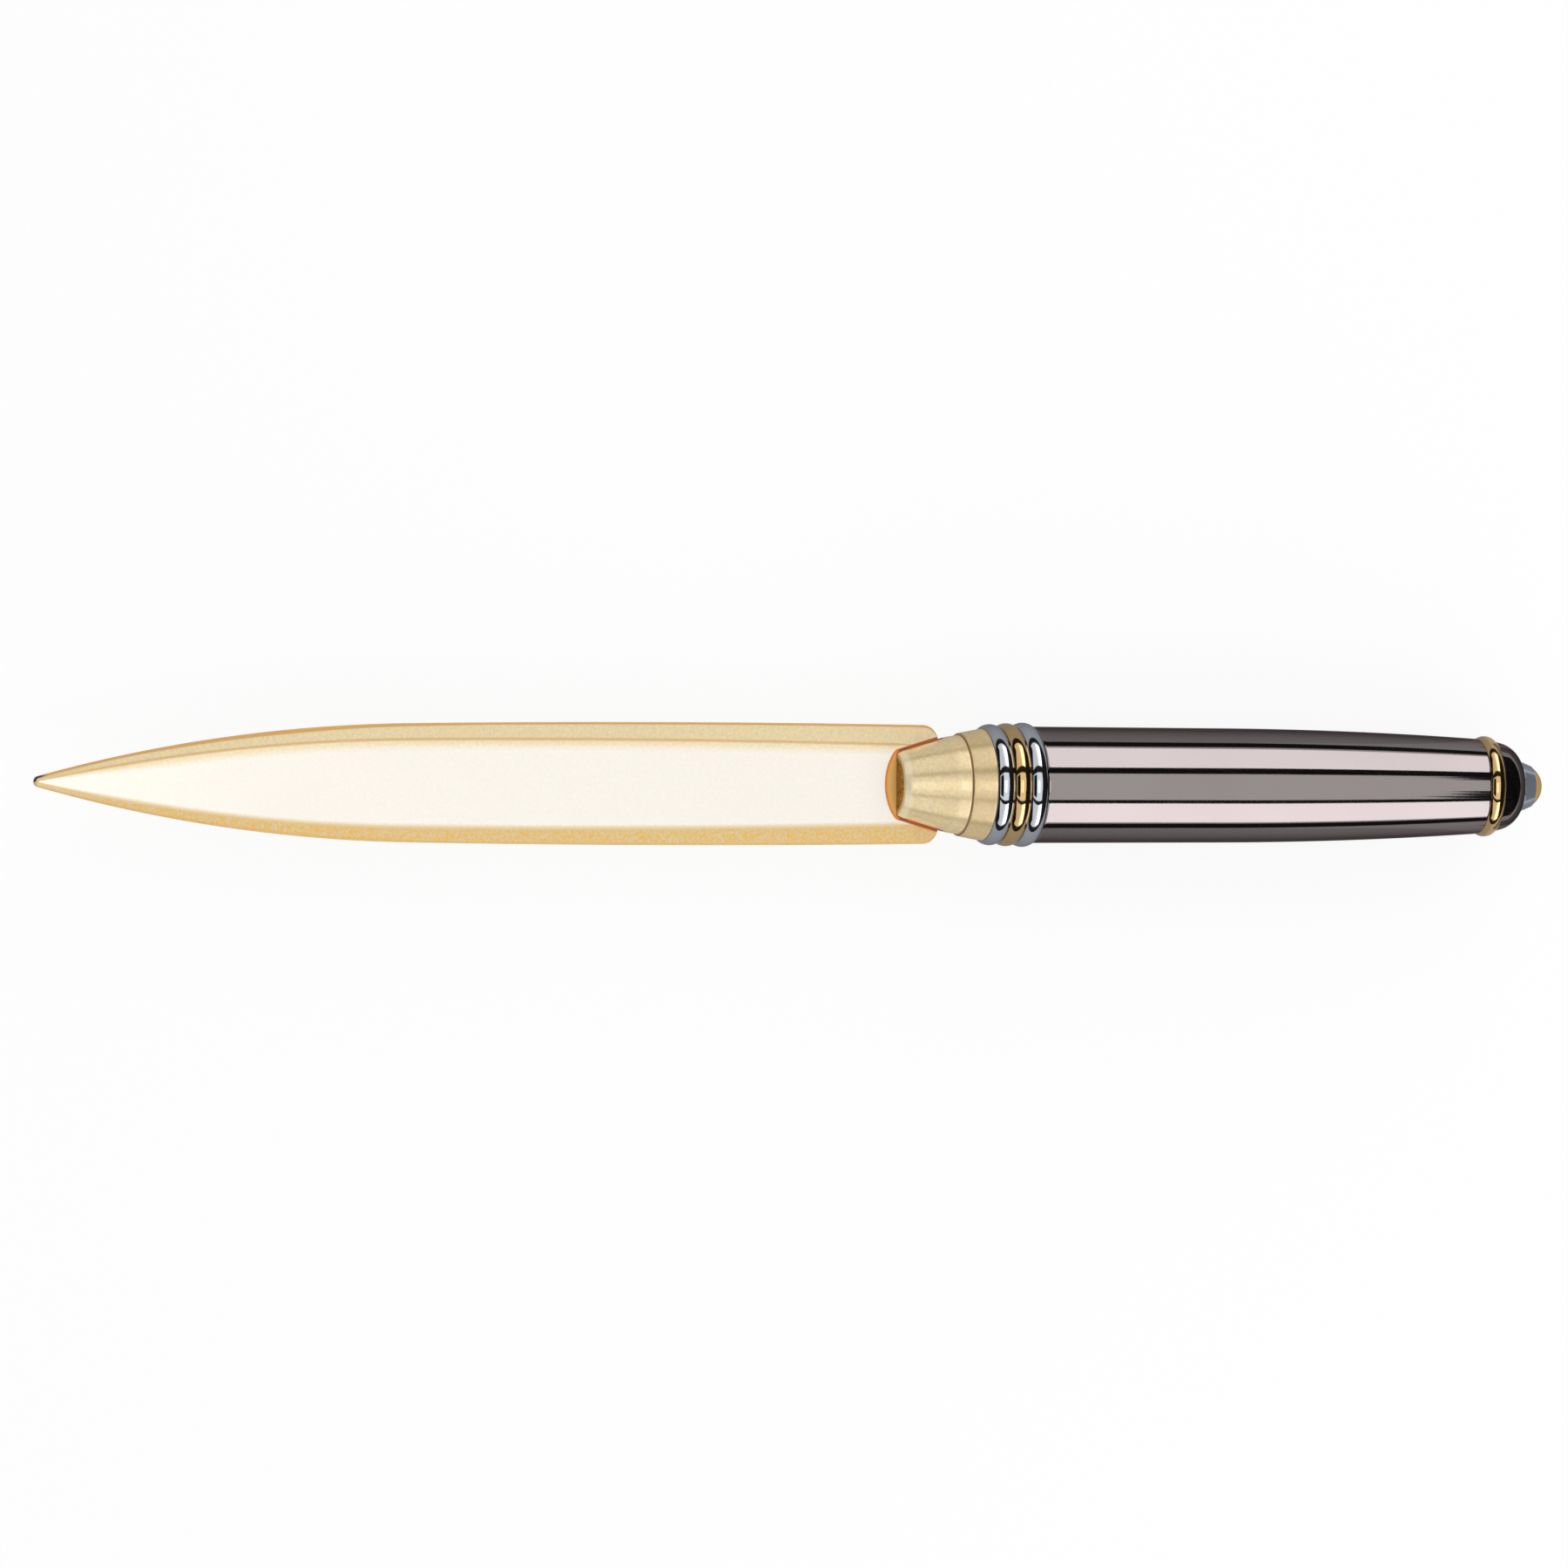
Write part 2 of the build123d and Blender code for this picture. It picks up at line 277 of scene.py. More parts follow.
# The piece's own X, Y and Z.
def pieceAxes(tree):
    place = addNode(tree, "ShaderNodeTexCoord")
    split = addNode(tree, "ShaderNodeSeparateXYZ")
    tree.links.new(place.outputs["Object"], split.inputs["Vector"])
    return split.outputs


# 1 on rays from the eye, from mirrors and through glass, 0 on the rest.
def seenRays(tree):
    rays = addNode(tree, "ShaderNodeLightPath")
    seen = doMath(tree, "MAXIMUM", rays.outputs["Is Camera Ray"], rays.outputs["Is Glossy Ray"])
    return doMath(tree, "MAXIMUM", seen, rays.outputs["Is Transmission Ray"])


# A painted reflection and painted shade on the blade round the nose cone: 1 where (ahead of the face /
# reach)^bow + (side / half width)^2 is under 1, with a half width that grows behind the face as the cone
# does.
# Ahead of the face it is a painted reflection of the face. The second result is 1 at its outer border, a dark
# outline, the third 1 behind the face, where it is painted shade beside and under the cone.
def seatReflectionAndShade(tree, s):
    axes = pieceAxes(tree)
    along, side = axes["X"], doMath(tree, "ABSOLUTE", axes["Y"], 0.0)
    face = (pointX + s["face"]) * mm
    ahead = doMath(tree, "MAXIMUM", doMath(tree, "SUBTRACT", face, along), 0.0)
    behind = doMath(tree, "MAXIMUM", doMath(tree, "SUBTRACT", along, face), 0.0)
    half = doMath(tree, "ADD", doMath(tree, "MULTIPLY", behind, s["slope"]), s["half"] * mm)
    ahead = doMath(tree, "POWER", doMath(tree, "DIVIDE", ahead, s["reach"] * mm), s["bow"])
    side = doMath(tree, "POWER", doMath(tree, "DIVIDE", side, half), 2.0)
    reached = doMath(tree, "ADD", ahead, side)
    inside = spread(tree, reached, 1.0, 0.0, *s["edge"])
    border = spread(tree, reached, 0.0, 1.0, *s["border"])
    return inside, border, spread(tree, behind, 0.0, 1.0, 0.0, s["darkening"] * mm)


# Share that goes from 0 to 1 across the piece, from a place at +Y to one at -Y (millimetres).
def acrossShare(tree, far, near):
    return spread(tree, pieceAxes(tree)["Y"], 1.0, 0.0, near * mm, far * mm)


# Matt paint or felt in two close tones.
def mattTones(name, scale, first, second):
    material, tree, shader = startTree(name)
    tone = mixColour(tree, spread(tree, pieceNoise(tree, (scale,) * 3, 2.0), 0.0, 1.0), first, second)
    tree.links.new(tone, shader.inputs["Base Color"])
    shader.inputs["Roughness"].default_value = 0.9
    shader.inputs["Specular IOR Level"].default_value = 0.0
    return material, tree, shader


plating = dict(leastRoughness=0.03, lacquerRoughness=0.05, lacquerIor=1.8, bumpDepth=0.0001)    # depth in m


# A plated metal: colour and roughness drift with slow and fine noise, and fine lines stand in the bump.
# The marks on the mesh give cut edges a painted edge tone, partly wear, and a gloss of their own, the blade's
# flats a painted highlight, sawn faces their raw colour with dark pits that are partly painted shade, and
# tarnishShade its tarnish and painted shade. A look may also have a deeper colour on the near side (painted
# shade), a painted reflection of the nose's face with painted shade by the cone at its seat, and clear
# lacquer over all.
def platedMetal(name, look):
    material, tree, shader = startTree(name)
    cloud = pieceNoise(tree, look["cloudScale"], 3.0)
    grain = pieceNoise(tree, look["grainScale"], 2.0)
    lines = pieceNoise(tree, look["lineScale"], 3.0, 0.6)
    rim = meshMark(tree, "rim")
    colour = mixColour(tree, spread(tree, cloud, 0.0, 1.0), look["colour"], look["colourFar"])
    speck = spread(tree, grain, 0.0, look["grainTint"])
    # a deeper colour towards the near side, at -Y: painted shade
    if "colourNearShade" in look:
        colour = mixColour(tree, acrossShare(tree, *look["nearShadeSpan"]), colour, look["colourNearShade"])
    # the blade's flats get a near-white colour: a painted highlight on the gold, with less grain
    if "colourFlatHighlight" in look:
        flat = meshMark(tree, "flat")
        colour = mixColour(tree, flat, colour, look["colourFlatHighlight"])
        speck = doMath(tree, "MULTIPLY", speck, spread(tree, flat, 1.0, look["flatSpeck"], 0.0, 1.0))
    # sawn faces: raw metal with dark pits, whose darkness is partly painted shade of the face
    if "colourRaw" in look:
        pitShade = spread(tree, pieceNoise(tree, look["pitScale"], 2.0), 0.0, 1.0, *look["pitSpan"])
        sawn = mixColour(tree, pitShade, look["colourRaw"], look["colourPitShade"])
        colour = mixColour(tree, meshMark(tree, "raw"), colour, sawn)
    colour = mixColour(tree, speck, colour, look["colourGrain"])
    # rims: a painted dark reflection line on the blade, a painted pale highlight elsewhere, partly wear
    colour = mixColour(tree, doMath(tree, "MULTIPLY", rim, look["rimTint"]), colour, look["colourRim"])
    # tarnishShade darkens the colour: tarnish together with painted shade
    if "colourTarnishShade" in look:
        colour = mixColour(tree, meshMark(tree, "tarnishShade"), colour, look["colourTarnishShade"])
    if "reflectionAndShade" in look:
        reflectionAndShade, border, behind = seatReflectionAndShade(tree, look["reflectionAndShade"])
        paintedSeatColour = mixColour(tree, border, look["reflectionAndShade"]["colour"], look["reflectionAndShade"]["colourBorder"])
        paintedSeatColour = mixColour(tree, behind, paintedSeatColour, look["reflectionAndShade"]["colourBehindShade"])
        colour = mixColour(tree, reflectionAndShade, colour, paintedSeatColour)
    tree.links.new(colour, shader.inputs["Base Color"])
    low, high = look["roughness"]
    rough = spread(tree, cloud, low, high)
    rough = doMath(tree, "ADD", rough, spread(tree, lines, -look["lineRough"], look["lineRough"]))
    if "polish" in look:
        polished = doMath(tree, "MULTIPLY", meshMark(tree, "polish"), look["polish"])
        rough = doMath(tree, "SUBTRACT", rough, polished)
    if "reflectionAndShade" in look:
        dulled = doMath(tree, "MULTIPLY", reflectionAndShade, look["reflectionAndShade"]["roughness"])
        rough = doMath(tree, "MAXIMUM", rough, dulled)
    rough = doMath(tree, "SUBTRACT", rough, doMath(tree, "MULTIPLY", rim, look["rimSmooth"]))
    tree.links.new(doMath(tree, "MAXIMUM", rough, plating["leastRoughness"]), shader.inputs["Roughness"])
    height = doMath(tree, "ADD", doMath(tree, "MULTIPLY", lines, look["lineShare"]), grain)
    bump = addNode(tree, "ShaderNodeBump",
                   values={"Strength": look["bump"], "Distance": plating["bumpDepth"]})
    tree.links.new(height, bump.inputs["Height"])
    tree.links.new(bump.outputs["Normal"], shader.inputs["Normal"])
    metal = look.get("metal", 1.0)
    shader.inputs["Metallic"].default_value = metal
    # the rims lose metal so their pale colour shows: a painted highlight, partly edge wear
    if "rimMatt" in look:
        paleRimMetal = spread(tree, rim, metal, metal * (1 - look["rimMatt"]), 0.0, 1.0)
        tree.links.new(doMath(tree, "MAXIMUM", paleRimMetal, meshMark(tree, "raw")), shader.inputs["Metallic"])
    if "polish" in look:
        clearOfSeat = spread(tree, reflectionAndShade, 1.0, 0.0, 0.0, 1.0)
        bright = doMath(tree, "MULTIPLY", meshMark(tree, "polish"), clearOfSeat)
        tree.links.new(spread(tree, bright, metal, look["flatMetal"], 0.0, 1.0), shader.inputs["Metallic"])
    shader.inputs["Specular Tint"].default_value = (*look["edgeTint"], 1)
    shader.inputs["IOR"].default_value = look.get("ior", 1.5)
    shader.inputs["Coat Weight"].default_value = look.get("lacquer", 0.0)
    shader.inputs["Coat Roughness"].default_value = plating["lacquerRoughness"]
    shader.inputs["Coat IOR"].default_value = plating["lacquerIor"]
    return material


satinBlade = platedMetal("satinBlade", dict(
    colour=(0.93, 0.755, 0.42), colourFar=(0.89, 0.71, 0.38),
    colourNearShade=(0.79, 0.47, 0.08), nearShadeSpan=(3.0, -3.0),
    colourFlatHighlight=(0.935, 0.895, 0.82), flatSpeck=0.2, colourGrain=(0.72, 0.62, 0.44), grainTint=0.8,
    # on the blade the rim colour is a painted reflection, a dark line along the far crease and the edges
    colourRim=(0.68, 0.37, 0.10), rimTint=0.95, colourTarnishShade=(0.09, 0.05, 0.045),
    cloudScale=(60, 160, 160), grainScale=(2800, 2800, 2800), lineScale=(120, 5200, 900),
    roughness=(0.44, 0.49), lineRough=0.03, polish=0.24, rimSmooth=0.05, lineShare=0.7, bump=0.03,
    edgeTint=(1.0, 0.95, 0.85), metal=0.4, flatMetal=0.55,
    # a painted reflection of the cone's face, a dark outline, and painted shade beside and under the cone
    reflectionAndShade=dict(face=noseFace, reach=1.6, bow=1.3, half=4.5, slope=0.29, darkening=0.5, roughness=0.6,
               edge=(0.97, 1.03), border=(0.66, 0.9),    # where the sum of the two terms leaves off
               colour=(1.0, 0.57, 0.17), colourBorder=(0.84, 0.27, 0.035), colourBehindShade=(0.47, 0.11, 0.035))))
turnedLook = dict(
    colour=(0.92, 0.71, 0.36), colourFar=(0.88, 0.65, 0.30), colourGrain=(0.62, 0.53, 0.36), grainTint=0.8,
    # the pale rim colour, matt through rimMatt, is a painted highlight on the chamfer and cut edges, partly
    # wear
    colourRim=(0.88, 0.79, 0.56), rimTint=0.7, colourRaw=(0.78, 0.36, 0.10), colourPitShade=(0.05, 0.012, 0.015),
    pitScale=(1900, 1900, 1900), pitSpan=(0.36, 0.44), colourTarnishShade=(0.26, 0.07, 0.025),
    cloudScale=(150, 120, 120), grainScale=(2600, 2600, 2600), lineScale=(7000, 160, 160),
    roughness=(0.20, 0.24), lineRough=0.03, rimSmooth=0.0, lineShare=1.2, bump=0.04,
    edgeTint=(1.0, 0.95, 0.85), metal=0.3, ior=2.1, rimMatt=0.8)
satinTurned = platedMetal("satinTurned", turnedLook)
# the collar takes a darker copy of the nose's satin gold: painted shade
satinCollarShade = platedMetal("satinCollarShade", dict(
    turnedLook, colour=(0.78, 0.57, 0.26), colourFar=(0.74, 0.52, 0.22), colourGrain=(0.53, 0.43, 0.27)))
polishedLook = dict(
    cloudScale=(200, 140, 140), grainScale=(5000, 5000, 5000), lineScale=(9000, 200, 200), lineShare=1.0)
polishedGold = platedMetal("polishedGold", dict(polishedLook,
    colour=(0.70, 0.45, 0.16), colourFar=(0.64, 0.40, 0.14), colourGrain=(0.60, 0.37, 0.13), grainTint=0.1,
    colourRim=(0.85, 0.62, 0.28), rimTint=0.4, roughness=(0.06, 0.09), lineRough=0.012,
    rimSmooth=0.02, bump=0.006, edgeTint=(0.9, 0.75, 0.55), lacquer=1.0))
buttonGold = platedMetal("buttonGold", dict(polishedLook,
    colour=(0.72, 0.47, 0.17), colourFar=(0.66, 0.42, 0.14), colourGrain=(0.60, 0.39, 0.15), grainTint=0.1,
    colourRim=(0.80, 0.58, 0.26), rimTint=0.3, roughness=(0.3, 0.36), lineRough=0.02,
    rimSmooth=0.05, bump=0.01, edgeTint=(0.9, 0.75, 0.55), metal=0.5))
polishedChrome = platedMetal("polishedChrome", dict(polishedLook,
    colour=(0.61, 0.635, 0.69), colourFar=(0.57, 0.595, 0.65), colourGrain=(0.52, 0.545, 0.60), grainTint=0.1,
    colourRim=(0.62, 0.65, 0.72), rimTint=0.4, roughness=(0.05, 0.08), lineRough=0.012,
    rimSmooth=0.01, bump=0.005, edgeTint=(0.8, 0.8, 0.85)))
softChrome = platedMetal("softChrome", dict(polishedLook,
    colour=(0.52, 0.58, 0.68), colourFar=(0.48, 0.54, 0.63), colourGrain=(0.42, 0.47, 0.57), grainTint=0.15,
    colourRim=(0.62, 0.66, 0.74), rimTint=0.4, roughness=(0.15, 0.18), lineRough=0.02,
    rimSmooth=0.05, bump=0.01, edgeTint=(0.8, 0.8, 0.85), metal=0.78))
gunmetal = platedMetal("gunmetal", dict(
    colour=(0.300, 0.262, 0.262), colourFar=(0.285, 0.247, 0.247),
    colourGrain=(0.24, 0.21, 0.21), grainTint=0.08,
    colourRim=(0.40, 0.37, 0.37), rimTint=0.4, cloudScale=(60, 110, 110),
    grainScale=(4200, 4200, 4200), lineScale=(160, 3600, 3600), roughness=(0.05, 0.07), lineRough=0.01,
    rimSmooth=0.02, lineShare=0.6, bump=0.003, edgeTint=(0.35, 0.32, 0.32)))
turnedBrass = platedMetal("turnedBrass", dict(
    colour=(0.74, 0.56, 0.27), colourFar=(0.66, 0.48, 0.22), colourGrain=(0.55, 0.40, 0.19), grainTint=0.3,
    colourRim=(0.85, 0.68, 0.36), rimTint=0.4, cloudScale=(180, 150, 150),
    grainScale=(3000, 3000, 3000), lineScale=(6000, 120, 120), roughness=(0.26, 0.36), lineRough=0.06,
    rimSmooth=0.06, lineShare=1.5, bump=0.14, edgeTint=(1.0, 0.95, 0.85)))
groundSteel = platedMetal("groundSteel", dict(
    colour=(0.58, 0.58, 0.60), colourFar=(0.50, 0.50, 0.52), colourGrain=(0.42, 0.42, 0.44), grainTint=0.3,
    colourRim=(0.7, 0.7, 0.72), rimTint=0.4, cloudScale=(180, 150, 150),
    grainScale=(3000, 3000, 3000), lineScale=(150, 150, 6000), roughness=(0.24, 0.34), lineRough=0.05,
    rimSmooth=0.05, lineShare=1.2, bump=0.1, edgeTint=(1.0, 1.0, 1.0)))
print("finishes mixed")

# Blade: rows run from the point to the tang, and each row is a loop: centre line, flat's border,
# edge, and the same mirrored below and on the other side.
blade = dict(
    thickness=1.4, edge=0.4, width=15.7, pointRun=50.3, belly=82.0, bellyBow=0.25,
    shoulder=121.3, shoulderNarrowing=0.28, shoulderRadius=1.9,
    tipHalf=0.65, tipDepth=0.4, flatSetback=0.6, flatTipHalf=0.1, flatTipDepth=0.08,
    bevel=2.05, bellyBevel=2.25, shoulderBevel=2.6, leastBevel=0.3,
    seatStations=(115.68, 116.5, 122.5), seatHalves=(4.02, 4.4, 6.1), seatDepth=0.1,
    seatStep=0.004, seatMost=0.9, seatLead=0.1, seatBlend=0.15,    # the seat's wall and its end
    tangHalf=3.0, tangEnd=132.9, tangChamfer=0.8, landHalf=0.1,
    creaseCut=0.4, creaseMost=0.4, edgeCut=0.13, edgeMost=0.45,    # cuts in mm, and as a share of their legs
    flatShares=(0.0, 0.3, 0.6, 0.85, 0.97, 0.999), bevelShares=(0.07, 0.14, 0.25, 0.4),
    fade=1.5, fadeMost=0.55, fadeShades=((0.0, 1.0), (0.3, 0.85), (0.65, 0.55), (0.93, 0.22)),
    creasePale=0.25, creaseLine=0.7, creaseDull=(1.6, 1.2),    # far side's painted highlight and painted reflection line, loss of polish far and near
    edgeLines=((0.75, 0, 0), (0.5, 0.1, 0), (0.36, 0.9, 0.1), (0.15, 1, 0.35)),    # mm off, far and near rim
    lineMost=0.55, lineThinning=(35.0, 60.0), lineThin=0.42, nearEdge=0.55, tipShade=1.8,
    capRows=10, pointRows=120, pointSpacing=1.35, bellyRows=90, seatRows=12, cornerRows=14,
    creaseRows=9, edgeRows=6)


# Outline of one level: a small arc round the tip, an arc to the belly and the belly's own long arc.
# Each part is run through evenly by station, so the two levels' points pair up.
def bladeOutline(b, tip, depth, tipHalf, startHalf, bellyHalf, shoulderHalf, bellyStations):
    start = (b["pointRun"], startHalf)
    belly = circleThrough(start, (b["belly"], bellyHalf), (b["shoulder"], shoulderHalf))
    out = (np.array(start) - belly[0]) / belly[1]
    sides = circleLeaving(start, out, (tip + depth, tipHalf))
    tipRadius = (tipHalf ** 2 + depth ** 2) / (2 * depth)
    opening = math.asin(min(1, tipHalf / tipRadius))
    turn = np.linspace(0, opening, b["capRows"])
    cap = np.stack([tip + tipRadius * (1 - np.cos(turn)), tipRadius * np.sin(turn)], 1)
    share = np.linspace(0, 1, b["pointRows"])[1:] ** b["pointSpacing"]
    run = tip + depth + share * (b["pointRun"] - tip - depth)
    point = np.stack([run, heightOn(sides, run)], 1)
    longRun = np.stack([bellyStations, heightOn(belly, bellyStations)], 1)
    return np.concatenate([cap, point, longRun])


def bladeGrid(b):
    half, rise = b["width"] / 2, b["thickness"] / 2
    startHalf, shoulderHalf = half - b["bellyBow"], half - b["shoulderNarrowing"]
    cornerStart = b["shoulder"] - b["shoulderRadius"]
    seatStart = b["seatStations"][0]
    runs = np.linspace(b["pointRun"], seatStart - b["seatStep"], b["bellyRows"])[1:]
    seatRuns = np.linspace(seatStart + b["seatStep"], cornerStart, b["seatRows"])
    corner = cornerStart + b["shoulderRadius"] * np.sin(np.linspace(0, np.pi / 2, b["cornerRows"]))[1:]
    bellyStations = np.concatenate([runs, seatRuns, corner])
    edge = bladeOutline(b, 0, b["tipDepth"], b["tipHalf"], startHalf, half, shoulderHalf, bellyStations)
    flatStart = startHalf - b["bevel"]
    flat = bladeOutline(b, b["flatSetback"], b["flatTipDepth"], b["flatTipHalf"], flatStart,
                        half - b["bellyBevel"], shoulderHalf - b["shoulderBevel"], bellyStations)
    # the bevels keep their slope where they narrow, so the blade thins towards the point
    bevelSlope = (rise - b["edge"] / 2) / b["bevel"]
    bevelWidth = np.interp(flat[:, 0], edge[:, 0], edge[:, 1]) - flat[:, 1]
    height = np.minimum(rise, b["edge"] / 2 + bevelSlope * bevelWidth)
    # the rounded shoulder takes the edge in, up the bevel's slope
    inCorner = np.clip(edge[:, 0] - cornerStart, 0, b["shoulderRadius"])
    narrowed = b["shoulderRadius"] - np.sqrt(b["shoulderRadius"] ** 2 - inCorner ** 2)
    slope = (rise - b["edge"] / 2) / np.maximum(edge[:, 1] - flat[:, 1], b["leastBevel"])
    edgeUp = b["edge"] / 2 + np.where(edge[:, 0] > cornerStart, narrowed * slope, 0)
    edgeSide = edge[:, 1] - narrowed
    # the thinned seat under the nose cone
    seatSide = np.interp(flat[:, 0], b["seatStations"], b["seatHalves"])
    onSeat = flat[:, 0] > seatStart
    past = np.clip((seatSide - flat[:, 1] + b["seatLead"]) / b["seatBlend"], 0, 1)
    flatUp = height - b["seatDepth"] * onSeat * past
    fadeStart = np.maximum(flat[:, 1] * b["fadeMost"], flat[:, 1] - b["fade"])
    step = np.where(onSeat, np.minimum(seatSide, flat[:, 1] * b["seatMost"]), fadeStart)
    low = height - b["seatDepth"] * onSeat

    def at(station, side, up):
        return np.stack([station, side, up], 1)

    centre = at(flat[:, 0], 0 * step, low)
    border, rimTop = at(flat[:, 0], flat[:, 1], flatUp), at(edge[:, 0], edgeSide, edgeUp)
    rimLow = rimTop * [1, 1, -1]
    columns, farMarks, nearMarks = [], [], []

    # marks are (flat, polish, rim); the far side, at +Y, has a painted reflection,
    # a dark line, at its crease and edge
    def add(points, farMark, nearMark):
        columns.append(points)
        farMarks.append(farMark)
        nearMarks.append(nearMark)

    for share in b["flatShares"]:
        add(centre + share * (at(flat[:, 0], step, low) - centre), (1, 1, 0), (1, 1, 0))
    inner = at(flat[:, 0], step * 1.001, flatUp)
    reach = np.linalg.norm(border - inner, axis=1)[:, None]
    fall = np.linalg.norm(rimTop - border, axis=1)[:, None]
    cut = np.minimum(b["creaseCut"], b["creaseMost"] * np.minimum(reach, fall))
    cutStart = border + (inner - border) / np.maximum(reach, 1e-9) * cut
    cutEnd = border + (rimTop - border) / np.maximum(fall, 1e-9) * cut
    # the flat's paleness fades towards the far crease and stays full on the near side: painted shade
    for share, shade in b["fadeShades"]:
        add(inner + share * (cutStart - inner), (shade, 1, 0), (1, 1, 0))
    farDull, nearDull = b["creaseDull"]
    for t in np.linspace(0, 1, b["creaseRows"]):
        # the painted reflection line is full on the crease's middle fifth and gone 0.3 from its middle
        line = min(1.0, max(0.0, 1.5 - abs(t - 0.5) / 0.2))
        add((1 - t) ** 2 * cutStart + 2 * t * (1 - t) * border + t ** 2 * cutEnd,
            (b["creasePale"] * (1 - t), max(0.0, 1 - farDull * t), b["creaseLine"] * line),
            (1 - t, max(0.0, 1 - nearDull * t), 0))
    land = np.linalg.norm(rimLow - rimTop, axis=1)[:, None]
    nick = np.minimum(b["edgeCut"], b["edgeMost"] * np.minimum(land, fall))
    nickStart = rimTop + (border - rimTop) / np.maximum(fall, 1e-9) * nick
    nickEnd = rimTop + (rimLow - rimTop) / np.maximum(land, 1e-9) * nick
    for share in b["bevelShares"]:
        add(cutEnd + share * (nickStart - cutEnd), (0, 0, 0), (0, 0, 0))
    slant = np.maximum(np.linalg.norm(nickStart - cutEnd, axis=1)[:, None], 1e-9)
    lineWidth = np.interp(edge[:, 0], b["lineThinning"], (1.0, b["lineThin"]))[:, None]
    for away, farRim, nearRim in b["edgeLines"]:
        inward = np.minimum(away * b["lineMost"] / b["edgeLines"][0][0], away / slant) * lineWidth
        add(nickStart + (cutEnd - nickStart) * inward, (0, 0, farRim), (0, 0, nearRim))
    for t in np.linspace(0, 1, b["edgeRows"]):
        add((1 - t) ** 2 * nickStart + 2 * t * (1 - t) * rimTop + t ** 2 * nickEnd,
            (0, 0, 1), (0, 0, b["nearEdge"]))
    upper = np.stack(columns, 1)
    lower = upper[:, ::-1] * [1, 1, -1]
    side = np.concatenate([upper, lower], 1)
    other = side[:, ::-1] * [1, -1, 1]
    grid = np.concatenate([side, other[:, 1:-1]], 1)
    nearMarks = nearMarks + nearMarks[::-1]
    marks = np.array(farMarks + farMarks[::-1] + nearMarks[1:-1], float)
    # shoulder face drawn in to the tang, the tang, and its end drawn in to the axis
    last = grid[-1]
    thin = rise - b["seatDepth"]
    tang = np.stack([last[:, 0], np.clip(last[:, 1], -b["tangHalf"], b["tangHalf"]),
                     np.where(np.abs(last[:, 2]) > b["landHalf"], np.sign(last[:, 2]) * thin, 0)], 1)
    squeeze = np.array([1, (b["tangHalf"] - b["tangChamfer"]) / b["tangHalf"], 1])
    far = [tang + [b["tangEnd"] - b["tangChamfer"] - b["shoulder"], 0, 0],
           tang * squeeze + [b["tangEnd"] - b["shoulder"], 0, 0],
           tang * [1, 0, 0] + [b["tangEnd"] - b["shoulder"], 0, 0]]
    grid = np.concatenate([grid, tang[None], np.stack(far)], 0)
    farRims = marks[:, 2] * (grid[len(edge) // 2, :, 1] > 0)
    # the far side of the blade's tip is darkened: painted shade
    tipShade = np.clip((b["tipShade"] - grid[:, :, 0]) / (0.5 * b["tipShade"]), 0, 1) * farRims
    return [(grid, False, True, {"flat": marks[:, 0], "polish": marks[:, 1],
                                 "rim": marks[:, 2], "tarnishShade": tipShade})]


addPiece("openerBlade", bladeGrid(blade), "blade", "blade_unit", satinBlade)

# Nose cone: two jaws either side of the slot, then a plain turned core with neck and threaded stud.
nose = dict(
    face=noseFace, faceRadius=4.05, chamferEnd=116.5, chamferRadius=4.42, coneEnd=122.5, coneRadius=6.10,
    seam=124.2, seamRadius=6.36, slotHalf=0.62, slotEnd=122.0, mortiseHalf=3.02, mortiseEnd=133.0,
    neck=4.6, neckEnd=134.8, stud=4.0, studEnd=142.4, studChamfer=0.5, longest=0.11,
    chamferRim=0.75, coneEndRim=0.1, otherRim=0.5, tarnishShade=0.32,    # shares of rim, a painted highlight, width of the tarnish and painted shade by the slot
    arcCount=96, stripCount=7, sideCount=6, middleCount=9, faceRings=7, faceHeart=0.45,
    thread=dict(pitch=1.25, hand=-1, start=135.6, end=142.0, fade=0.6, radius=4.0, band=0.2, depth=0.62))


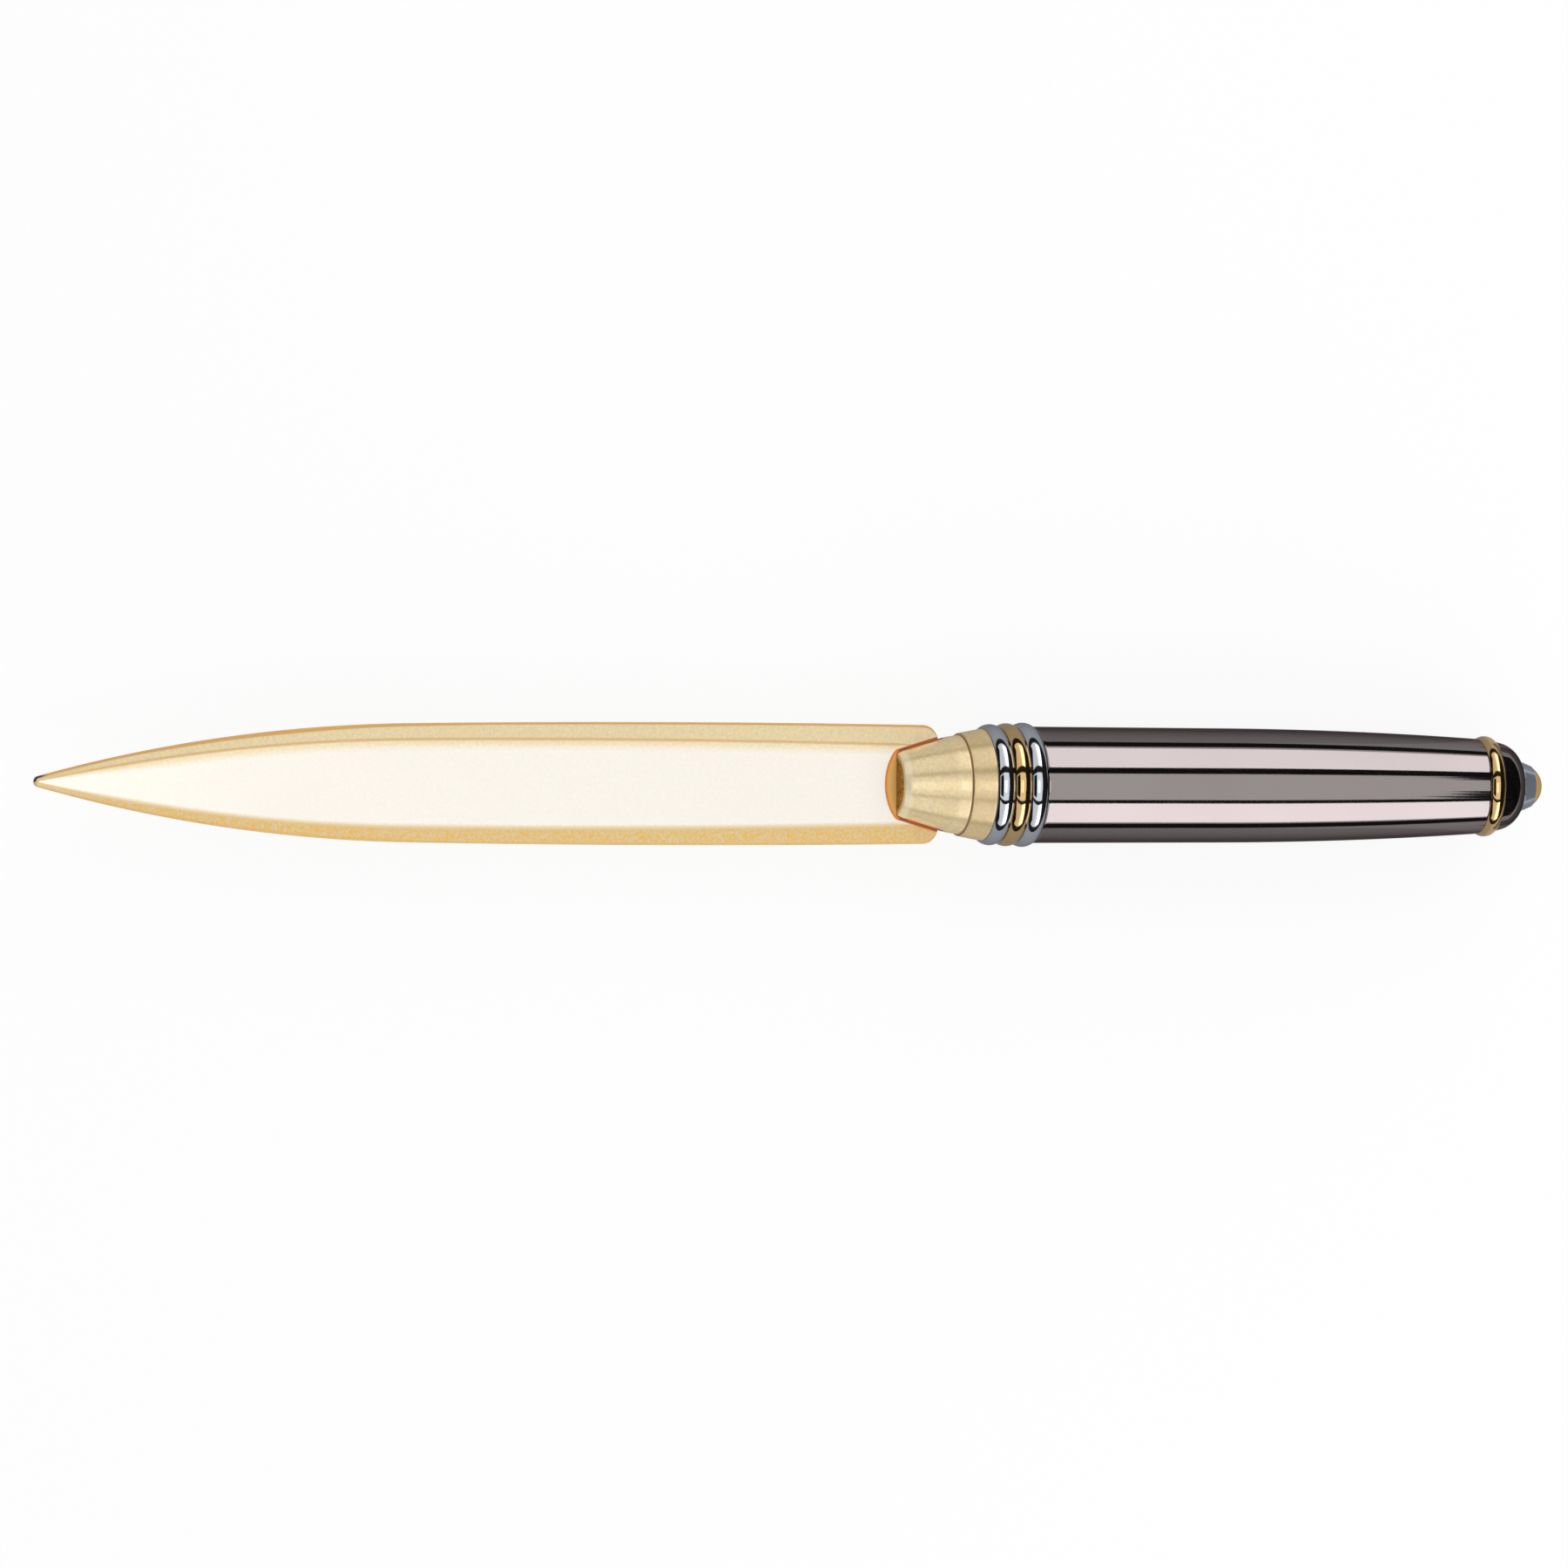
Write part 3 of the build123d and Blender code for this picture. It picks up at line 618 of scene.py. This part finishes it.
def slottedNose(n):
    path, rim = roundedPath([
        (n["face"], 0.5, 0), (n["face"], n["faceRadius"], 0.16),
        (n["chamferEnd"], n["chamferRadius"], 0.3), (n["coneEnd"], n["coneRadius"], 0.3),
        (n["seam"], n["seamRadius"], 0.28), (n["seam"], n["neck"], 0.05),
        (n["neckEnd"], n["neck"], 0.12), (n["neckEnd"], n["stud"], 0.05),
        (n["studEnd"] - n["studChamfer"], n["stud"], 0.08),
        (n["studEnd"], n["stud"] - n["studChamfer"], 0.05), (n["studEnd"], 0, 0)], longest=n["longest"])
    onFace = (path[:, 0] <= n["face"] + 1e-9) & (path[:, 1] < n["faceRadius"] - 0.2)
    path, rim = path[~onFace], rim[~onFace]
    onChamfer = (path[:, 0] > n["face"] + 0.12) & (path[:, 0] < n["chamferEnd"] + 0.05)
    atConeEnd = np.abs(path[:, 0] - n["coneEnd"]) < 0.5
    rim = np.where(onChamfer, n["chamferRim"], np.where(atConeEnd, n["coneEndRim"], n["otherRim"]) * rim)
    ahead = path[:, 0] < n["slotEnd"] - 0.02
    ends = path[~ahead]
    onCone = path[:, 0] < n["coneEnd"]
    endRadius = np.interp(n["slotEnd"], path[onCone, 0], path[onCone, 1])
    jaw = np.concatenate([path[ahead], [[n["slotEnd"], endRadius]]])
    jawRim = np.append(rim[ahead], 0)
    core = np.concatenate([[[n["slotEnd"], endRadius]], ends])
    coreRim = np.append(0, rim[~ahead])
    share = np.linspace(0, 1, n["arcCount"])

    # one jaw: an arc from slot wall to slot wall, and the wall back across; up is +1 or -1
    def jawLoop(radius, up):
        opening = np.arcsin(n["slotHalf"] / radius)[:, None]
        angle = opening + share * (np.pi - 2 * opening)
        wide = radius[:, None] * np.cos(opening)
        beyond = wide - n["mortiseHalf"]
        sides = np.linspace(0, 1, n["sideCount"])
        middle = np.linspace(-1, 1, n["middleCount"])
        wall = np.concatenate([-wide + sides * beyond, middle[None, 1:] * n["mortiseHalf"] + 0 * wide,
                               n["mortiseHalf"] + sides[None, 1:] * beyond], 1)[:, 1:-1]
        across = np.concatenate([radius[:, None] * np.cos(angle), wall], 1)
        rise = np.concatenate([radius[:, None] * np.sin(angle), n["slotHalf"] + 0 * wall], 1)
        # tarnish with painted contact shadow, full on the slot's walls and fading beside the slot by the
        # blade
        close = np.minimum(share, 1 - share) * np.pi * radius[:, None]
        fading = np.clip((n["tarnishShade"] - close) / (0.5 * n["tarnishShade"]), 0, 1)
        return across, up * rise, np.concatenate([fading, 1 + 0 * wall], 1)

    grids = []
    for up in (1, -1):
        across, rise, tarnishShade = jawLoop(jaw[:, 1], up)
        loop = np.stack([jaw[:, 0][:, None] + 0 * across, across, rise], -1)
        grids.append((loop, False, True, {"rim": jawRim[:, None] * (1 - tarnishShade), "tarnishShade": tarnishShade}))
        heart = np.array([n["face"], 0, up * n["faceHeart"] * n["faceRadius"]])
        shrink = np.linspace(1, 0, n["faceRings"])[:, None, None]
        grids.append((heart + shrink * (loop[0] - heart), False, True, {"raw": 1.0}))
    # strip at the slot's end, left and right of the tang's mortise
    opening = math.asin(n["slotHalf"] / endRadius)
    tilt = np.linspace(-opening, opening, n["stripCount"])[:, None]
    sides = np.linspace(0, 1, n["sideCount"])[None, :]
    for hand in (1, -1):
        across = hand * (n["mortiseHalf"] + sides * (endRadius * np.cos(tilt) - n["mortiseHalf"]))
        rise = endRadius * np.sin(tilt) + 0 * sides
        grids.append((np.stack([n["slotEnd"] + 0 * across, across, rise], -1), False, False, {"raw": 1.0}))
    # the mortise, a blind box
    level = endRadius * np.sin(tilt[:, 0])
    middle = np.linspace(-1, 1, n["middleCount"]) * n["mortiseHalf"]
    mouth = np.concatenate([
        np.stack([middle, 0 * middle + n["slotHalf"]], 1),
        np.stack([0 * level + n["mortiseHalf"], level[::-1]], 1)[1:],
        np.stack([middle[::-1], 0 * middle - n["slotHalf"]], 1)[1:],
        np.stack([0 * level - n["mortiseHalf"], level], 1)[1:-1]])
    depth = np.array([n["slotEnd"], n["mortiseEnd"], n["mortiseEnd"]])[:, None]
    size = np.array([1, 1, 0])[:, None]
    box = np.stack([depth + 0 * mouth[:, 0], size * mouth[:, 0], size * mouth[:, 1]], -1)
    grids.append((box, False, True, {"raw": 1.0}))
    # core behind the slot, on the same angles as the jaws and strips
    arc = opening + share * (np.pi - 2 * opening)
    small = tilt[:, 0]
    angles = np.concatenate([small[:-1], arc[:-1], np.pi + small[:-1], np.pi + arc[:-1]])
    grids.append((turned(core, angles, n["thread"]), False, True, {"rim": coreRim[:, None]}))
    return grids


addPiece("slottedNose", slottedNose(nose), "nose_cone", "blade_unit", satinTurned)


# Turned pieces: a closed profile, or one that starts and ends on the axis, with tarnish and painted shade
# ahead of tarnishShadeEnd.
def turnedGrids(corners, closed, segments=224, thread=None, longest=0.7, tarnishShadeEnd=-1.0, tarnishShade=0.0):
    path, rim = roundedPath(corners, closed, longest=longest)
    dull = np.where(path[:, 0] < tarnishShadeEnd, tarnishShade, 0.0)[:, None]
    marks = {"rim": rim[:, None] * (dull == 0), "tarnishShade": dull}
    return [(turned(path, fullTurn(segments), thread), closed, True, marks)]


# the collar's front edge at the seam gets tarnish and painted shade
collar = dict(front=124.2, rear=127.28, bore=4.63, frontRadius=6.62, frontDrop=0.02, rearRadius=7.17,
              tarnishShadeEnd=124.27, tarnishShade=0.55)
addPiece("noseCollar", turnedGrids([
    (collar["front"], collar["bore"], 0.05),
    (collar["front"], collar["frontRadius"] - collar["frontDrop"], 0.12),
    (collar["rear"], collar["rearRadius"], 0.12), (collar["rear"], collar["bore"], 0.05)],
    True, tarnishShadeEnd=collar["tarnishShadeEnd"], tarnishShade=collar["tarnishShade"]),
    "collar", "blade_unit", satinCollarShade)

beadForm = dict(crownSteps=41, sideDrop=0.02, sideCut=0.05, boreCut=0.08)


# A bead's outside is an arc through its two sides and its crest.
def beadGrids(bead):
    start, end, side = bead["start"], bead["start"] + bead["width"], bead["crest"] - bead["crown"]
    circle = circleThrough((start, side), (start + bead["width"] / 2, bead["crest"]), (end, side))
    turn = np.linspace(0, np.pi, beadForm["crownSteps"])
    run = start + bead["width"] * (0.5 - 0.5 * np.cos(turn))
    outside = [(s, r, 0) for s, r in zip(run[1:-1], heightOn(circle, run)[1:-1])]
    low, sideCut, boreCut = side - beadForm["sideDrop"], beadForm["sideCut"], beadForm["boreCut"]
    corners = [(start, bead["bore"], boreCut), (start, low, sideCut), *outside,
               (end, low, sideCut), (end, bead["bore"], boreCut)]
    return turnedGrids(corners, True)


beads = (
    (dict(name="frontBead", start=127.3, width=2.2, crest=7.75, crown=0.45, bore=4.63),
     "front_ring", "front_rings", "polished_chrome", polishedChrome),
    (dict(name="middleBead", start=129.5, width=2.2, crest=7.87, crown=0.45, bore=4.63),
     "middle_ring", "front_rings", "polished_gold", polishedGold),
    (dict(name="rearBead", start=131.7, width=2.2, crest=7.95, crown=0.45, bore=4.63),
     "rear_ring", "front_rings", "polished_chrome", polishedChrome),
    (dict(name="tailBead", start=194.4, width=1.9, crest=6.44, crown=0.42, bore=4.7),
     "tail_ring", "tail_trim", "polished_gold", polishedGold),
)
for bead, node, body, slot, material in beads:
    addPiece(bead["name"], beadGrids(bead), node, body, material)

barrel = dict(front=133.9, bend=159.9, tail=194.4, frontRadius=7.45, bendRadius=7.32, tailRadius=6.08,
              mouth=6.11, mouthEnd=144.9, cavity=5.6, tailSeat=183.1, tailBore=4.7, steps=44, segments=256)


# The barrel's outside is straight to the bend, and from there an arc that leaves it smoothly.
def barrelGrids(b):
    bend = (b["bend"], b["bendRadius"])
    curve = circleLeaving(bend, legOut((b["front"], b["frontRadius"]), bend), (b["tail"], b["tailRadius"]))
    run = np.linspace(b["bend"], b["tail"], b["steps"])[:-1]
    outside = [(s, r, 0) for s, r in zip(run, heightOn(curve, run))]
    corners = [(b["front"], b["mouth"], 0.12), (b["front"], b["frontRadius"], 0.35), *outside,
               (b["tail"], b["tailRadius"], 0.1), (b["tail"], b["tailBore"], 0.1),
               (b["tailSeat"], b["tailBore"], 0.05), (b["tailSeat"], b["cavity"], 0.05),
               (b["mouthEnd"], b["cavity"], 0.05), (b["mouthEnd"], b["mouth"], 0.05)]
    return turnedGrids(corners, True, b["segments"])


addPiece("handleBarrel", barrelGrids(barrel), "barrel", "handle", gunmetal)

dome = dict(front=196.3, shoulder=197.4, end=199.9, frontRadius=5.85, shoulderRadius=5.57, endRadius=3.35,
            bore=2.05, spigot=4.67, spigotEnd=191.8, steps=34)


# The dome's outside is a short cone and then an arc that leaves it smoothly, run through by its angle.
def domeGrids(d):
    shoulder, end = (d["shoulder"], d["shoulderRadius"]), (d["end"], d["endRadius"])
    centre, radius = circleLeaving(shoulder, legOut((d["front"], d["frontRadius"]), shoulder), end)
    sweep = np.array([shoulder, end]) - centre
    turn = np.linspace(*np.arctan2(sweep[:, 1], sweep[:, 0]), d["steps"])[:-1]
    outside = [(centre[0] + radius * math.cos(a), centre[1] + radius * math.sin(a), 0) for a in turn]
    corners = [(d["spigotEnd"], d["bore"], 0.1), (d["spigotEnd"], d["spigot"], 0.2),
               (d["front"], d["spigot"], 0.03), (d["front"], d["frontRadius"], 0.1), *outside,
               (d["end"], d["endRadius"], 0.08), (d["end"], d["bore"], 0.05)]
    return turnedGrids(corners, True)


addPiece("domedTail", domeGrids(dome), "tail_dome", "tail_trim", gunmetal)

taper = dict(front=199.9, end=201.63, frontRadius=3.35, endRadius=2.62, bore=2.05, segments=160, longest=0.2)
addPiece("tailTaper", turnedGrids([
    (taper["front"], taper["bore"], 0.05), (taper["front"], taper["frontRadius"], 0.08),
    (taper["end"], taper["endRadius"], 0.08), (taper["end"], taper["bore"], 0.05)],
    True, taper["segments"], longest=taper["longest"]),
    "tail_cone", "tail_trim", softChrome)

button = dict(
    stemEnd=186.1, stemChamfer=0.4, stem=2.0, seat=201.65, end=overallLength, radius=2.5,
    steps=36, segments=160, longest=0.07,
    thread=dict(pitch=0.7, hand=1, start=186.5, end=192.4, fade=0.4, radius=2.0, band=0.1, depth=0.34))


# The button's crown is an arc from its seat to the axis, on a threaded stem.
def buttonGrids(b):
    cap = circleThrough((b["seat"], b["radius"]), (b["end"], 0), (b["seat"], -b["radius"]))
    lift = math.asin(b["radius"] / cap[1])
    turn = np.linspace(lift, 0, b["steps"])
    outside = [(cap[0][0] + cap[1] * math.cos(a), max(0, cap[1] * math.sin(a)), 0) for a in turn]
    corners = [(b["stemEnd"], 0, 0), (b["stemEnd"], b["stem"] - b["stemChamfer"], 0.05),
               (b["stemEnd"] + b["stemChamfer"], b["stem"], 0.05), (b["seat"], b["stem"], 0.04),
               (b["seat"], b["radius"], 0.1), *outside[1:]]
    return turnedGrids(corners, False, b["segments"], b["thread"], longest=b["longest"])


addPiece("buttonFinial", buttonGrids(button), "finial_screw", "finial", buttonGold)

# CAD nodes that stay as they are get their finishes
for node, material in (("front_bush", turnedBrass), ("tail_bush", turnedBrass), ("tang_pin", groundSteel)):
    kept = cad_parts[node]
    kept.data.materials.clear()
    kept.data.materials.append(material)
print("pieces done")

# Stage: floor, lamps, cards, walls and camera
floor = dict(size=6.0, toneScale=9, tones=((0.93, 0.93, 0.93), (0.915, 0.915, 0.92)), glow=0.87)
reach = floor["size"]
floorMesh = bpy.data.meshes.new("deskFloor")
floorMesh.from_pydata([(-reach, -reach, 0), (reach, -reach, 0), (reach, reach, 0), (-reach, reach, 0)],
                      [], [(0, 1, 2, 3)])
deskFloor = bpy.data.objects.new("deskFloor", floorMesh)
bpy.context.scene.collection.objects.link(deskFloor)
floorPaint, floorTree, floorShader = mattTones("floorPaint", floor["toneScale"], *floor["tones"])
# to the eye and to mirrors the floor is mostly plain white, and its painted part keeps the shadow
floorGlow = addNode(floorTree, "ShaderNodeEmission", values={"Color": (1, 1, 1, 1), "Strength": 1.0})
floorMix = addNode(floorTree, "ShaderNodeMixShader")
floorTree.links.new(doMath(floorTree, "MULTIPLY", seenRays(floorTree), floor["glow"]), floorMix.inputs[0])
floorTree.links.new(floorShader.outputs["BSDF"], floorMix.inputs[1])
floorTree.links.new(floorGlow.outputs["Emission"], floorMix.inputs[2])
floorTree.links.new(floorMix.outputs["Shader"], floorTree.nodes["Material Output"].inputs["Surface"])
floorMesh.materials.append(floorPaint)

# A panel faces the axis from the given angle off straight up, tilting to +Y, as wide as its two angles open.
panels = (
    dict(name="sidePanelFar", low=34.5, high=79.0, away=0.9, start=-0.05, end=0.98, glow=1.55),
    dict(name="sidePanelNear", low=-80.0, high=-36.5, away=0.9, start=-0.05, end=0.98, glow=1.9),
    dict(name="topPanel", low=-29.5, high=22.5, away=1.1, start=-0.45, end=1.1, glow=0.2),
    dict(name="landSpot", low=-14.0, high=8.0, away=1.1, start=0.01, end=0.13, glow=2.2),
    dict(name="coneSpot", low=-14.0, high=8.0, away=1.1, start=-0.36, end=-0.12, glow=0.6),
)


def panelFrame(p):
    middle = math.radians((p["low"] + p["high"]) / 2)
    width = 2 * p["away"] * math.tan(math.radians(p["high"] - p["low"]) / 2)
    toward = Vector((0, -math.sin(middle), -math.cos(middle)))
    place = -toward * p["away"] + Vector(((p["start"] + p["end"]) / 2, 0, axisZ * mm))
    along = Vector((1, 0, 0))
    turn = Matrix((along, (-toward).cross(along), -toward)).transposed().to_4x4()
    return Matrix.Translation(place) @ turn, p["end"] - p["start"], width


for panel in panels:
    lamp = bpy.data.lights.new(panel["name"], "AREA")
    stand, length, width = panelFrame(panel)
    lamp.shape = "RECTANGLE"
    lamp.size, lamp.size_y = length, width
    lamp.energy = panel["glow"] * math.pi * length * width
    holder = bpy.data.objects.new(panel["name"], lamp)
    holder.matrix_world = stand
    holder.visible_camera = False
    bpy.context.scene.collection.objects.link(holder)

# Cards that only mirror surfaces see, black where no felt is named. Each is given by the ends of its cross
# line, (across, up), and runs along the axis from start to end. One with across set has its line as
# (along, up) and runs across. All in metres.
cards = (
    dict(name="gapCardFar", line=((0.35, 0.845), (0.485, 0.697)), start=-1.2, end=2.0),
    dict(name="gapCardNear", line=((-0.418, 0.74), (-0.507, 0.683)), start=-1.2, end=2.0),
    dict(name="wedgeCardFar", line=((0.30, 0.90), (0.35, 0.845)), start=0.522, end=2.0),
    dict(name="wedgeCardFarInner", line=((0.25, 0.95), (0.30, 0.90)), start=0.549, end=2.0),
    dict(name="wedgeCardNear", line=((-0.36, 0.85), (-0.418, 0.74)), start=0.50, end=2.0),
    dict(name="wedgeCardNearInner", line=((-0.28, 0.915), (-0.36, 0.85)), start=0.534, end=2.0),
    dict(name="wedgeCardNearInmost", line=((-0.2, 0.98), (-0.28, 0.915)), start=0.559, end=2.0),
    dict(name="lowCardFar", line=((0.115, 0.0012), (0.85, 0.112)), start=-1.5, end=2.0),
    dict(name="lowCardNear", line=((-0.115, 0.0012), (-0.85, 0.112)), start=-1.5, end=2.0),
    # the grey, pale and dim mats by the object darken the floor as mirrors see it: painted shade
    dict(name="ringMatFar", line=((0.004, 0.0006), (0.115, 0.0012)), start=-1.5, end=0.0375, felt="grey"),
    dict(name="ringMatNear", line=((-0.004, 0.0006), (-0.115, 0.0012)), start=-1.5, end=0.0375, felt="grey"),
    dict(name="matFar", line=((0.004, 0.0006), (0.115, 0.0012)), start=0.0375, end=0.0955, felt="grey"),
    dict(name="matNear", line=((-0.004, 0.0006), (-0.115, 0.0012)), start=0.0375, end=0.0955, felt="grey"),
    dict(name="tailMatFar", line=((0.004, 0.0006), (0.115, 0.0012)), start=0.0955, end=2.0, felt="pale"),
    dict(name="tailMatNear", line=((-0.004, 0.0006), (-0.115, 0.0012)), start=0.0955, end=2.0, felt="pale"),
    # the dull cards glow though they are no lamps: a painted reflection of a dim wall in the collar and land
    dict(name="dullCardFar", line=((0.53, 0.78), (0.93, 0.114)), start=-0.06, end=0.12, felt="wall"),
    dict(name="dullCardNear", line=((-0.53, 0.78), (-0.93, 0.114)), start=-0.06, end=0.12, felt="wall"),
    dict(name="matTail", line=((-0.03, 0.0014), (0.03, 0.0014)), start=0.103, end=1.5, felt="dim"),
    dict(name="roofCard", line=((-0.44, 1.0), (0.36, 1.0)), start=-1.2, end=-0.4),
    dict(name="endCardTop", line=((-0.55, 1.0), (0.5, 1.0)), start=0.62, end=2.0),
    dict(name="endCardFar", line=((0.541, 0.796), (0.95, 0.116)), start=0.565, end=2.0),
    dict(name="endCardNear", line=((-0.541, 0.796), (-0.95, 0.116)), start=0.565, end=2.0),
    dict(name="tailCard", across=True, line=((1.5, 0.0012), (1.5, 1.25)), start=-2.0, end=2.0),
    dict(name="pointCard", across=True, line=((-1.0, 0.0012), (-1.0, 0.7)), start=-2.0, end=2.0),
)


feltScale = 40


def cardFelt(name, first, second, glow=0.0):
    felt, tree, shader = mattTones(name, feltScale, first, second)
    shader.inputs["Emission Color"].default_value = (1, 1, 1, 1)
    shader.inputs["Emission Strength"].default_value = glow
    return felt


felts = dict(black=cardFelt("blackFelt", (0.012, 0.012, 0.012), (0.02, 0.02, 0.02)),
             dim=cardFelt("dimFelt", (0.20, 0.19, 0.19), (0.18, 0.17, 0.17)),
             grey=cardFelt("greyFelt", (0.43, 0.43, 0.44), (0.41, 0.41, 0.42)),
             pale=cardFelt("paleFelt", (0.55, 0.55, 0.56), (0.53, 0.53, 0.54)),
             wall=cardFelt("glowingWallSheet", (0.02, 0.02, 0.02), (0.03, 0.03, 0.03), 0.95))
for card in cards:
    (nearSide, nearUp), (farSide, farUp) = card["line"]
    if card.get("across"):
        corners = [(nearSide, card["start"], nearUp), (nearSide, card["end"], nearUp),
                   (farSide, card["end"], farUp), (farSide, card["start"], farUp)]
    else:
        corners = [(card["start"], nearSide, nearUp), (card["end"], nearSide, nearUp),
                   (card["end"], farSide, farUp), (card["start"], farSide, farUp)]
    sheet = bpy.data.meshes.new(card["name"])
    sheet.from_pydata(corners, [], [(0, 1, 2, 3)])
    sheet.materials.append(felts[card.get("felt", "black")])
    hung = bpy.data.objects.new(card["name"], sheet)
    bpy.context.scene.collection.objects.link(hung)
    for ray in ("visible_camera", "visible_diffuse", "visible_shadow", "visible_transmission"):
        setattr(hung, ray, False)

# Studio walls: pale to the eye and to mirror surfaces, dimmer as a source of light
studio = dict(seen=0.85, lit=0.6)
world = bpy.data.worlds.new("studio")
bpy.context.scene.world = world
world.use_nodes = True
walls = world.node_tree
backdrop = walls.nodes["Background"]
backdrop.inputs["Color"].default_value = (1.0, 1.0, 1.0, 1)
wallLight = spread(walls, seenRays(walls), studio["lit"], studio["seen"], 0.0, 1.0)
walls.links.new(wallLight, backdrop.inputs["Strength"])

# Camera: from above, leaning towards the point, with a long lens and a hair of roll
view = dict(lean=18.5, roll=0.19, lens=1500.0, sensor=36.0, pixel=0.1113, frame=1800, aim=100.74,
            nearest=0.05, farthest=60)
lean = math.radians(view["lean"])
back = Vector((-math.sin(lean), 0, math.cos(lean)))
right = Vector((math.cos(lean), 0, math.sin(lean)))
turn = Matrix((right, Vector((0, 1, 0)), back)).transposed().to_4x4()
aim = Vector(((pointX + view["aim"]) * mm, 0, axisZ * mm))
away = view["pixel"] * view["frame"] * mm / view["sensor"] * view["lens"]
camera = bpy.data.cameras.new("photoCamera")
camera.lens, camera.sensor_width = view["lens"], view["sensor"]
camera.clip_start, camera.clip_end = view["nearest"], view["farthest"]
cameraObject = bpy.data.objects.new("photoCamera", camera)
roll = Matrix.Rotation(math.radians(view["roll"]), 4, "Z")
cameraObject.matrix_world = Matrix.Translation(aim + back * away) @ turn @ roll
bpy.context.scene.collection.objects.link(cameraObject)
bpy.context.scene.camera = cameraObject
bpy.context.scene.view_settings.view_transform = "Standard"
print("stage set")
